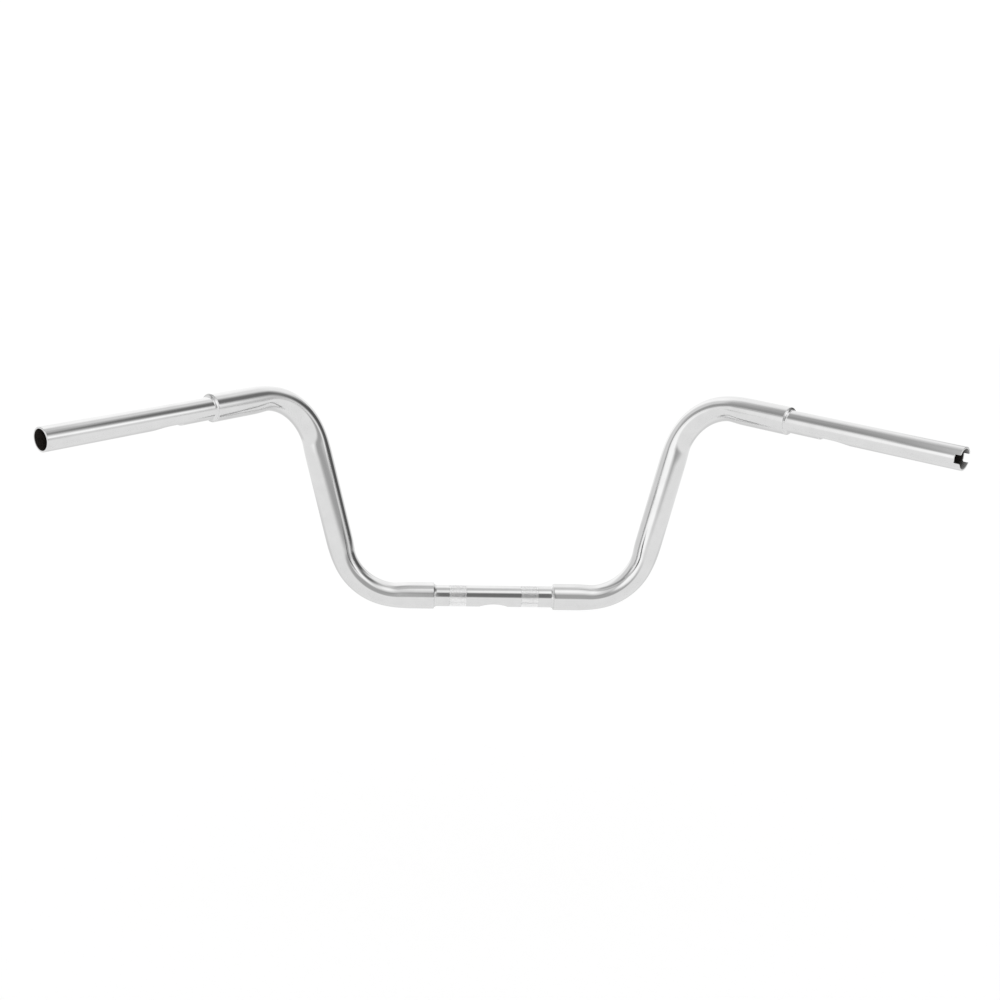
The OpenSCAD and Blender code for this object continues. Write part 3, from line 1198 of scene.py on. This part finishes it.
    def build(self, metal: Material, bore: Material) -> Object:
        """Makes the tube.

        Args:
            metal: Material of the outside.
            bore: Material of the inside.

        Returns:
            The finished tube as a plain mesh at the origin.
        """
        mesh = self.mesh()
        mesh.materials.append(metal)
        mesh.materials.append(bore)
        return in_scene(self.name, mesh)


def new_shader_group(name: str, inputs: dict[str, float], outputs: dict[str, str]) -> NodeTree:
    """Starts a shader node group.

    Args:
        name: The group's name.
        inputs: Name and default of each number that goes in.
        outputs: Name and socket type of each result.

    Returns:
        The group, with no node in it yet.
    """
    group = bpy.data.node_groups.new(name, "ShaderNodeTree")
    for label, value in inputs.items():
        socket = group.interface.new_socket(label, in_out="INPUT", socket_type="NodeSocketFloat")
        socket.default_value = value
    for label, kind in outputs.items():
        group.interface.new_socket(label, in_out="OUTPUT", socket_type=kind)
    return group


def noise(b: TreeBuilder, scale: object, detail: float, roughness: float = 0.5) -> NodeSocket:
    """Adds noise over the object's own space.

    Args:
        b: Builder of the tree.
        scale: How often it changes in a metre.
        detail: How many finer layers it has.
        roughness: How strong the finer layers are.

    Returns:
        The noise as a number.
    """
    place = b.add("ShaderNodeTexCoord").outputs["Object"]
    return b.add("ShaderNodeTexNoise", {
        "Vector": place, "Scale": scale, "Detail": detail, "Roughness": roughness}).outputs["Fac"]


def haze_group(streaks: float = 0.35) -> NodeTree:
    """Group for faint polishing haze and handling marks over the surface.

    Args:
        streaks: How strong the fine streaks are beside the haze.

    Returns:
        The group, which gives a mask.
    """
    group = new_shader_group(
        "polish haze", {"Scale": 60.0, "Streak": 900.0, "Contrast": 0.5}, {"Mask": "NodeSocketFloat"})
    b = TreeBuilder(group)
    into = b.add("NodeGroupInput").outputs
    cloud, fine = noise(b, into["Scale"], 4.0, 0.55), noise(b, into["Streak"], 2.0)
    mixed = b.math("MULTIPLY_ADD", b.math("SUBTRACT", fine, 0.5), streaks, cloud)
    half = b.math("MULTIPLY", into["Contrast"], 0.5)
    mask = b.add("ShaderNodeMapRange", {
        "Value": mixed, "From Min": b.math("SUBTRACT", 0.5, half), "From Max": b.math("ADD", 0.5, half)})
    b.add("NodeGroupOutput", {"Mask": mask.outputs["Result"]})
    return group


def wave_group(finer: float = 14.0) -> NodeTree:
    """Group for the long, shallow waves of a drawn, bent and buffed tube.

    Args:
        finer: How many times as often the small waves come.

    Returns:
        The group, which gives a height.
    """
    group = new_shader_group("buffed waves", {"Scale": 12.0, "Fine": 0.1}, {"Height": "NodeSocketFloat"})
    b = TreeBuilder(group)
    into = b.add("NodeGroupInput").outputs
    long_waves = noise(b, into["Scale"], 1.0)
    small = noise(b, b.math("MULTIPLY", into["Scale"], finer), 2.0)
    b.add("NodeGroupOutput", {"Height": b.math("MULTIPLY_ADD", small, into["Fine"], long_waves)})
    return group


def new_material(name: str, values: dict[str, object]) -> tuple[Material, TreeBuilder, object]:
    """Starts a material.

    Args:
        name: The material's name.
        values: Values for inputs of its shader, by name.

    Returns:
        The material, a builder for its tree, and the inputs of its shader.
    """
    made = bpy.data.materials.new(name)
    made.use_nodes = True
    inputs = made.node_tree.nodes["Principled BSDF"].inputs
    for label, value in values.items():
        inputs[label].default_value = value
    return made, TreeBuilder(made.node_tree), inputs


def blend(b: TreeBuilder, mask: object, low: object, high: tuple[float, float, float]) -> NodeSocket:
    """A mix of two colours by a mask; the first may be an output."""
    start = low if isinstance(low, NodeSocket) else (*low, 1)
    return b.add("ShaderNodeMix", {0: mask, 6: start, 7: (*high, 1)}, data_type="RGBA").outputs[2]


@dataclass(frozen=True)
class ChromeFinish:
    """Bright chrome plate, buffed: how light it is, how sharp, and how even."""

    name: str
    bright: tuple[float, float, float] = (0.725, 0.725, 0.725)
    dull: tuple[float, float, float] = (0.68, 0.68, 0.68)
    smoothest: float = 0.07
    roughest: float = 0.12
    wave: float = 0.05 * MM
    wave_scale: float = 12.0

    def material(self, haze: NodeTree, waves: NodeTree) -> Material:
        """Makes the material of this finish.

        Args:
            haze: Group for the haze.
            waves: Group for the waves.

        Returns:
            The material.
        """
        made, b, shader = new_material(self.name, {"Metallic": 1.0})
        mask = b.add("ShaderNodeGroup", node_tree=haze).outputs["Mask"]
        b.feed(shader["Base Color"], blend(b, mask, self.bright, self.dull))
        b.feed(shader["Roughness"], b.value_range(mask, self.smoothest, self.roughest))
        height = b.add("ShaderNodeGroup", node_tree=waves)
        height.inputs["Scale"].default_value = self.wave_scale
        bump = b.add("ShaderNodeBump", {
            "Height": height.outputs["Height"], "Distance": self.wave, "Strength": 1.0})
        b.feed(shader["Normal"], bump.outputs["Normal"])
        return made


@dataclass(frozen=True)
class BareBoreAndShade:
    """The inside of a tube: dark drawn steel with a little brown in it, painted near black as shade inside
    the tube, and plate at a notched mouth.
    """

    name: str = "bare_bore_and_painted_shade"
    # Both tones are far darker than bare steel: painted shade of the inside of the tube, over the steel's
    # own mottle
    dark: tuple[float, float, float] = (0.020, 0.018, 0.016)
    light: tuple[float, float, float] = (0.055, 0.045, 0.038)
    plated: tuple[float, float, float] = (0.42, 0.42, 0.42)
    metallic: float = 0.35
    mottle: float = 160.0
    smoothest: float = 0.5
    roughest: float = 0.75
    grain: float = 0.1 * MM
    grain_strength: float = 0.6

    def material(self, haze: NodeTree) -> Material:
        """Makes the material of this finish.

        Args:
            haze: Group for the haze.

        Returns:
            The material.
        """
        made, b, shader = new_material(self.name, {"Metallic": self.metallic})
        spots = b.add("ShaderNodeGroup", node_tree=haze)
        spots.inputs["Scale"].default_value = self.mottle
        mask = spots.outputs["Mask"]
        plating = b.add("ShaderNodeAttribute", attribute_name="plating").outputs["Fac"]
        b.feed(shader["Base Color"], blend(b, plating, blend(b, mask, self.dark, self.light), self.plated))
        b.feed(shader["Roughness"], b.value_range(mask, self.smoothest, self.roughest))
        bump = b.add("ShaderNodeBump", {
            "Height": mask, "Distance": self.grain, "Strength": self.grain_strength})
        b.feed(shader["Normal"], bump.outputs["Normal"])
        return made


def card_group(least_ahead: float = 0.05) -> NodeTree:
    """Group for a soft-edged rectangle on the dome.

    Args:
        least_ahead: Cosine from the card's own direction below which nothing of it is seen.

    Returns:
        The group, which gives a mask from the card's directions and half sizes.
    """
    group = new_shader_group(
        "studio card", {"Half Width": 0.3, "Half Height": 0.3, "Fade": 0.1}, {"Mask": "NodeSocketFloat"})
    for label in ("Up", "Right", "Facing"):
        socket = group.interface.new_socket(label, in_out="INPUT", socket_type="NodeSocketVector")
        group.interface.move(socket, 0)
    b = TreeBuilder(group)
    into = b.add("NodeGroupInput").outputs
    place = b.vector("NORMALIZE", b.add("ShaderNodeTexCoord").outputs["Object"])
    ahead = b.vector("DOT_PRODUCT", place, into["Facing"])
    mask = b.math("GREATER_THAN", ahead, least_ahead)
    away_from_bar = b.math("MAXIMUM", ahead, least_ahead)
    for axis, half in (("Right", "Half Width"), ("Up", "Half Height")):
        aside = b.math("DIVIDE", b.vector("DOT_PRODUCT", place, into[axis]), away_from_bar)
        inside = b.math("SUBTRACT", into[half], b.math("ABSOLUTE", aside))
        share = b.math("ADD", b.math("DIVIDE", inside, into["Fade"]), 0.5)
        mask = b.math("MULTIPLY", mask, b.soft_step(share))
    b.add("NodeGroupOutput", {"Mask": mask})
    return group


def facing(azimuth: float, elevation: float) -> tuple[Vector, Vector, Vector]:
    """Directions of a card that is seen from the bar.

    Args:
        azimuth: Degrees round the bar; 0 is the camera's side and 90 the throttle's.
        elevation: Degrees above the level.

    Returns:
        The direction from the bar to the card, and the card's right and up.
    """
    a, e = math.radians(azimuth), math.radians(elevation)
    ahead = Vector((math.sin(a) * math.cos(e), -math.cos(a) * math.cos(e), math.sin(e)))
    right = Vector((math.cos(a), math.sin(a), 0))
    up = ahead.cross(right)
    return ahead, right, up if up.z > 0 else -up


@dataclass(frozen=True)
class Card:
    """A light or grey card on the studio dome, by where it is seen from the bar's middle, in degrees."""

    name: str
    azimuth: float
    elevation: float
    width: float
    height: float
    light: float
    fade: float

    def lay(self, b: TreeBuilder, under: NodeSocket, group: NodeTree) -> NodeSocket:
        """Lays the card over the light of the cards under it.

        Args:
            b: Builder of the dome's material.
            under: Light so far.
            group: The card group.

        Returns:
            The light with this card.
        """
        node = b.add("ShaderNodeGroup", node_tree=group)
        node.label = self.name
        for label, value in zip(("Facing", "Right", "Up"), facing(self.azimuth, self.elevation)):
            node.inputs[label].default_value = value
        angles = {"Half Width": self.width / 2, "Half Height": self.height / 2, "Fade": self.fade}
        for label, angle in angles.items():
            node.inputs[label].default_value = math.tan(math.radians(angle))
        return b.math("MULTIPLY_ADD", b.math("SUBTRACT", self.light, under), node.outputs["Mask"], under)


def glowing(name: str, glow: float = 1.0, base: float = 0.0) -> tuple[Material, TreeBuilder, object]:
    """Starts a material that glows white and is no lamp.

    Args:
        name: The material's name.
        glow: Strength of its glow.
        base: How light its surface is.

    Returns:
        The material, a builder for its tree, and the inputs of its shader.
    """
    made, b, shader = new_material(name, {
        "Base Color": (base, base, base, 1), "Specular IOR Level": 0.0, "Emission Color": (1, 1, 1, 1),
        "Emission Strength": glow})
    made.cycles.emission_sampling = "NONE"
    return made, b, shader


def quad(name: str, points: list) -> Mesh:
    """Makes a mesh with one face.

    Args:
        name: Name of the mesh.
        points: The four corners, in order.

    Returns:
        The mesh.
    """
    mesh = bpy.data.meshes.new(name)
    mesh.from_pydata(points, [], [(0, 1, 2, 3)])
    return mesh


def unseen_stage(name: str, mesh: Mesh) -> None:
    """Adds a stage piece that shows in the chrome only.

    Args:
        name: The piece's name.
        mesh: Its mesh.
    """
    piece = in_scene(name, mesh)
    piece.visible_camera = piece.visible_diffuse = piece.visible_shadow = False


@dataclass(frozen=True)
class Flag:
    """A dark card close to the bar, which only the metal nearest to it reflects."""

    name: str = "clamp_flag"
    azimuth: float = 4.5
    elevation: float = 25.0
    half_width: float = 0.0775
    half_height: float = 0.060
    away: float = 0.12
    seen_within: float = 0.17
    light: float = 0.20
    side_fade: float = 0.05
    rise_fade: float = 0.55

    def build(self) -> None:
        """Makes the flag as a stage piece that isn't seen itself."""
        ahead, right, up = facing(self.azimuth, self.elevation)
        ends = ((-1, -1), (1, -1), (1, 1), (-1, 1))
        right, up = right * self.half_width, up * self.half_height
        mesh = quad(self.name, [ahead * self.away + right * i + up * j for i, j in ends])
        uv = mesh.uv_layers.new(name="card")
        for k, (i, j) in enumerate(ends):
            uv.data[k].uv = ((i + 1) / 2, (j + 1) / 2)
        made, b, shader = glowing(self.name, self.light)
        across = b.place("UV")
        mask = b.math("LESS_THAN", b.add("ShaderNodeLightPath").outputs["Ray Length"], self.seen_within)
        for axis, fade in (("X", self.side_fade), ("Y", self.rise_fade)):
            out = b.math("ABSOLUTE", b.math("MULTIPLY_ADD", across[axis], 2.0, -1.0))
            mask = b.math("MULTIPLY", mask, b.soft_step(b.math("SUBTRACT", 1.0, out), 0.0, fade))
        b.feed(shader["Alpha"], mask)
        mesh.materials.append(made)
        unseen_stage(self.name, mesh)


CARDS: tuple[Card, ...] = (
    Card("left_dark", -66.5, 25.3, 50.3, 52.9, 0.48, 15.6),
    Card("rear_right_box", 135.4, 43.0, 86.9, 45.1, 1.13, 15.4),
    Card("low_right", 79.6, -16.9, 21.8, 22.9, 0.48, 12.0),
    Card("rear_top", 144.2, 81.0, 40.1, 7.1, 0.67, 1.0),
    Card("grey_right", 42.9, 9.0, 50.0, 25.5, 0.46, 4.6),
    Card("rear_right_dark", 112.0, 17.0, 49.1, 43.9, 0.12, 22.0),
    Card("right_line", 54.0, 29.6, 52.5, 30.0, 1.36, 17.1),
    Card("front_box", -27.1, 20.5, 42.5, 24.1, 1.23, 6.7),
    Card("grey_upper_left", -64.9, 63.8, 32.9, 50.9, 0.39, 13.2),
    Card("rear_left_box", -164.3, 35.7, 30.3, 64.4, 1.27, 22.0),
    Card("left_strip", -70.2, 9.4, 13.9, 68.8, 1.07, 3.2),
    Card("front_gap", 14.5, 14.5, 43.8, 44.0, 0.48, 22.0),
    Card("front_top_box", -47.4, 42.5, 94.1, 6.1, 0.36, 17.5),
    Card("top_fill", 36.6, 88.8, 121.9, 4.0, 1.02, 22.0),
    Card("front_left_box", -44.5, 8.0, 45.7, 38.8, 1.3, 18.9),
    Card("top_line", 20.4, 62.7, 22.0, 26.3, 1.3, 22.0),
    Card("top_shade", -1.5, 91.7, 59.1, 5.0, 0.56, 21.8),
    Card("right_top_shade", 88.8, 47.3, 31.1, 32.6, 0.2, 22.0),
    Card("left_white", -30.6, 32.0, 26.9, 14.8, 1.36, 20.2),
)


@dataclass(frozen=True)
class FloorShade:
    """A soft grey patch of floor behind the bar, which draws the lower outlines of the tubes."""

    width: float = 2.8
    near: float = 0.06
    far: float = 2.2
    fade: float = 0.45
    light: float = 0.82

    def build(self, height: float, floor_light: float) -> None:
        """Lays the patch.

        Args:
            height: Height that it lies at.
            floor_light: Light of the floor, which the patch runs into at its edges.
        """
        side = self.width / 2
        mesh = quad("floor_shade", [(x, y, height) for x, y in (
            (-side, self.near), (side, self.near), (side, self.far), (-side, self.far))])
        made, b, shader = glowing("floor_shade")
        place = b.place()
        aside = b.math("ABSOLUTE", place["X"])
        mask = b.soft_step(place["Y"], self.near, self.near + self.fade)
        mask = b.math("MULTIPLY", mask, b.soft_step(place["Y"], self.far, self.far - self.fade))
        mask = b.math("MULTIPLY", mask, b.soft_step(aside, side, side - self.fade))
        light = b.math("MULTIPLY_ADD", mask, self.light - floor_light, floor_light)
        b.feed(shader["Emission Color"], b.grey(light))
        mesh.materials.append(made)
        unseen_stage("floor_shade", mesh)


@dataclass
class Studio:
    """The pale floor, the white surroundings, the cards and the camera."""

    floor_drop: float = 0.32
    floor_reach: float = 30.0
    floor_light: float = 1.01
    floor_white: float = 0.93
    floor_roughness: float = 0.9
    shade_lift: float = 1 * MM
    room: float = 0.87
    backdrop: float = 1.05
    dome_reach: float = 2.47
    dome_sides: int = 96
    cove: float = 0.45
    cards: tuple[Card, ...] = CARDS
    camera_place: tuple[float, float, float] = (-0.10057, -1.48053, 0.35109)
    camera_turns: tuple[tuple[str, float], ...] = (("Z", 0.070), ("Y", 0.018), ("X", 0.157))
    lens: float = 45.0
    sensor: float = 36.0

    def floor(self) -> None:
        """A wide pale floor under the bar, which hangs above it as in the picture."""
        r, z = self.floor_reach, -self.floor_drop
        mesh = quad("studio_floor", [(-r, -r, z), (r, -r, z), (r, r, z), (-r, r, z)])
        glow = self.floor_light - self.floor_white * self.room
        made, _, shader = glowing("pale_floor", glow, self.floor_white)
        shader["Roughness"].default_value = self.floor_roughness
        mesh.materials.append(made)
        in_scene("studio_floor", mesh)

    def surroundings(self) -> None:
        """A pale room round the bar, and a white backdrop behind it for the camera."""
        world = bpy.data.worlds.new("studio")
        bpy.context.scene.world = world
        world.use_nodes = True
        b = TreeBuilder(world.node_tree)
        seen = b.add("ShaderNodeLightPath").outputs["Is Camera Ray"]
        shader = world.node_tree.nodes["Background"]
        shader.inputs["Color"].default_value = (1, 1, 1, 1)
        strength = b.math("MULTIPLY_ADD", seen, self.backdrop - self.room, self.room)
        b.feed(shader.inputs["Strength"], strength)

    def dome(self) -> None:
        """The room's walls and ceiling with all the cards, as the chrome sees them."""
        work = bmesh.new()
        bmesh.ops.create_uvsphere(
            work, u_segments=self.dome_sides, v_segments=self.dome_sides // 2, radius=self.dome_reach)
        bmesh.ops.reverse_faces(work, faces=work.faces)
        mesh = bpy.data.meshes.new("studio_dome")
        work.to_mesh(mesh)
        work.free()
        made, b, shader = glowing("studio_dome")
        group = card_group()
        light = b.add("ShaderNodeValue").outputs[0]
        light.default_value = self.room
        for card in self.cards:
            light = card.lay(b, light, group)
        # The wall runs into the floor in a soft cove
        rise = b.soft_step(b.place()["Z"], -self.floor_drop, self.cove - self.floor_drop)
        light = b.math("MULTIPLY_ADD", b.math("SUBTRACT", light, self.floor_light), rise, self.floor_light)
        b.feed(shader["Emission Color"], b.grey(light))
        mesh.materials.append(made)
        unseen_stage("studio_dome", mesh)

    def camera(self) -> None:
        """The camera at the picture's viewing angle."""
        data = bpy.data.cameras.new("camera")
        data.sensor_width, data.lens = self.sensor, self.lens
        data.clip_start, data.clip_end = 0.01, 100
        cam = in_scene("camera", data)
        tilt = Matrix.Identity(3)
        for axis, angle in self.camera_turns:
            tilt = tilt @ Matrix.Rotation(angle, 3, axis)
        # The camera's right, down and ahead before the turns
        rows = np.array([[1.0, 0, 0], [0, 0, -1.0], [0, 1.0, 0]]) @ np.array(tilt)
        cam.matrix_world = frame_of(rows[0], -rows[1], -rows[2], self.camera_place)
        bpy.context.scene.camera = cam

    def build(self) -> None:
        """Sets the whole studio up."""
        self.floor()
        self.surroundings()
        self.dome()
        Flag().build()
        FloorShade().build(self.shade_lift - self.floor_drop, self.floor_light)
        self.camera()
        view = bpy.context.scene.view_settings
        view.view_transform, view.look, view.exposure, view.gamma = "Standard", "None", 0.0, 1.0


@dataclass(frozen=True)
class KnurlBand:
    """A knurled band of the clamp tube: flat-topped diamonds over a shallow recess of the tube."""

    sizes: BarSizes = SIZES
    depth_share: float = 0.7
    end_gap: float = 0.5 * MM
    steps: int = 9
    root: float = 0.8 * MM
    crest: float = 3.6
    recess: float = 0.62 * MM

    def recess_at(self, middle: float) -> tuple[float, float, float]:
        """Both ends and the depth of the recess under the band round this middle."""
        half = self.sizes.knurl_len / 2
        return middle - half, middle + half, self.recess

    def build(self, name: str, middle: float, tree: NodeTree,
              metal: Material) -> Object:
        """Makes one band.

        Args:
            name: Name of the object.
            middle: Where the band's middle lies along the clamp tube.
            tree: The knurl tree.
            metal: Material of the diamonds.

        Returns:
            The finished band as a plain mesh at the origin.
        """
        s = self.sizes
        return grown(name, bpy.data.meshes.new("knurl_start"), tree, {
            "Radius": s.tube_r, "Depth": self.depth_share * s.knurl_depth,
            "Length": s.knurl_len - self.end_gap, "Centre": middle, "Diamonds": s.knurl_diamonds,
            "Rows": s.knurl_rows, "Steps": self.steps, "Root": self.root, "Crest": self.crest,
            "Metal": metal})


@dataclass
class Handlebar:
    """The whole bar: its trees, finishes and pieces."""

    sizes: BarSizes = SIZES
    hole_lean: float = math.radians(12)
    clamp_around: int = 200
    clamp_rounding: float = 0.5 * MM
    grip_trim: float = 0.25 * MM
    plain_rounding: float = 0.5 * MM
    notched_rounding: float = 0.32 * MM

    def finishes(self) -> None:
        """Makes the bar's materials."""
        haze, waves = haze_group(), wave_group()
        plain = ChromeFinish("bright_chrome")
        weld = ChromeFinish("chrome_over_weld", smoothest=0.05, wave_scale=60.0, wave=0.06 * MM)
        # Painted light: the knurled bands get a lighter copy of the bright chrome, lighter than the same
        # plate would be
        knurl = ChromeFinish("chrome_over_knurl_painted_lighter", (0.90, 0.90, 0.90), (0.85, 0.85, 0.85), 0.08, 0.14)
        self.chrome, self.weld_chrome, self.knurl_chrome_painted_lighter = (
            finish.material(haze, waves) for finish in (plain, weld, knurl))
        self.bore = BareBoreAndShade().material(haze)

    def hand_over(self, piece: Object, node: str) -> None:
        """Lets a finished piece stand for a node and move with the bar.

        Args:
            piece: The piece.
            node: Name of the node in the frame.
        """
        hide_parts(node)
        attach(piece, BODY)
        log.info("%s stands for %s with %d faces", piece.name, node, len(piece.data.polygons))

    def clamp_tube(self) -> Object:
        """Makes the thin middle tube with its two knurled bands and the oval hole underneath.

        Returns:
            The tube and its bands as one object.
        """
        s, band = self.sizes, KnurlBand(self.sizes)
        x = np.array([0, -math.sin(self.hole_lean), -math.cos(self.hole_lean)])
        z = np.array([1.0, 0, 0])
        reach = s.clamp_len / 2 + s.sleeve_len
        middles = {side: side * s.knurl_spacing / 2 for side in (-1, 1)}
        tube = ThinTube(
            "clamp_tube_skin", s, -reach, reach, frame_of(x, np.cross(z, x), z), ExitOval().hole(),
            recesses=tuple(band.recess_at(middle) for middle in middles.values()),
            round_low=self.clamp_rounding, around=self.clamp_around).build(self.chrome, self.bore)
        knurl = knurl_tree()
        return join([tube] + [band.build(f"knurl_{side}", middle, knurl, self.knurl_chrome_painted_lighter)
                              for side, middle in middles.items()])

    def grip_tube(self, side: Side) -> Object:
        """Makes a thin grip tube with its wire slot, and on the right its two end notches.

        Args:
            side: Side of the bar.

        Returns:
            The finished tube.
        """
        s = self.sizes
        end = OpenEnd.NOTCHED if side is Side.RIGHT else OpenEnd.PLAIN
        rounding = self.notched_rounding if end is OpenEnd.NOTCHED else self.plain_rounding
        return ThinTube(
            f"{side.name.lower()}_grip_skin", s, -s.grip_len - s.sleeve_len, -self.grip_trim,
            Matrix.Diagonal((side.value, 1, 1, 1)) @ s.grip_frame(), WireSlot().hole(), end,
            round_high=rounding).build(self.chrome, self.bore)

    def build(self) -> None:
        """Builds every piece in order."""
        self.finishes()
        skin = ring_skin_tree()
        self.hand_over(self.clamp_tube(), "centre_clamp_tube")
        for side in Side:
            tag = side.name.lower()
            riser = RiserTube(side, self.sizes).build(skin, self.chrome, self.bore)
            self.hand_over(riser, f"{tag}_riser_tube")
            self.hand_over(self.grip_tube(side), f"{tag}_grip_tube")
            for at_grip in (False, True):
                bead = WeldFillet(side, at_grip, self.sizes).build(skin, self.weld_chrome, self.bore)
                self.hand_over(bead, f"{tag}_{'grip' if at_grip else 'clamp'}_weld")


def join(parts: list[Object]) -> Object:
    """Joins plain meshes into the first one.

    Args:
        parts: The objects, which may have different materials.

    Returns:
        The first object, which keeps its name and normals.
    """
    first = parts[0]
    bpy.ops.object.select_all(action="DESELECT")
    for part in parts:
        part.select_set(True)
    bpy.context.view_layer.objects.active = first
    bpy.ops.object.join()
    return first


def main() -> None:
    logging.basicConfig(level=logging.INFO, format="%(name)s: %(message)s")
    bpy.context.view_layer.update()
    Handlebar().build()
    Studio().build()
    bpy.context.view_layer.update()


if __name__ == "__main__":
    main()
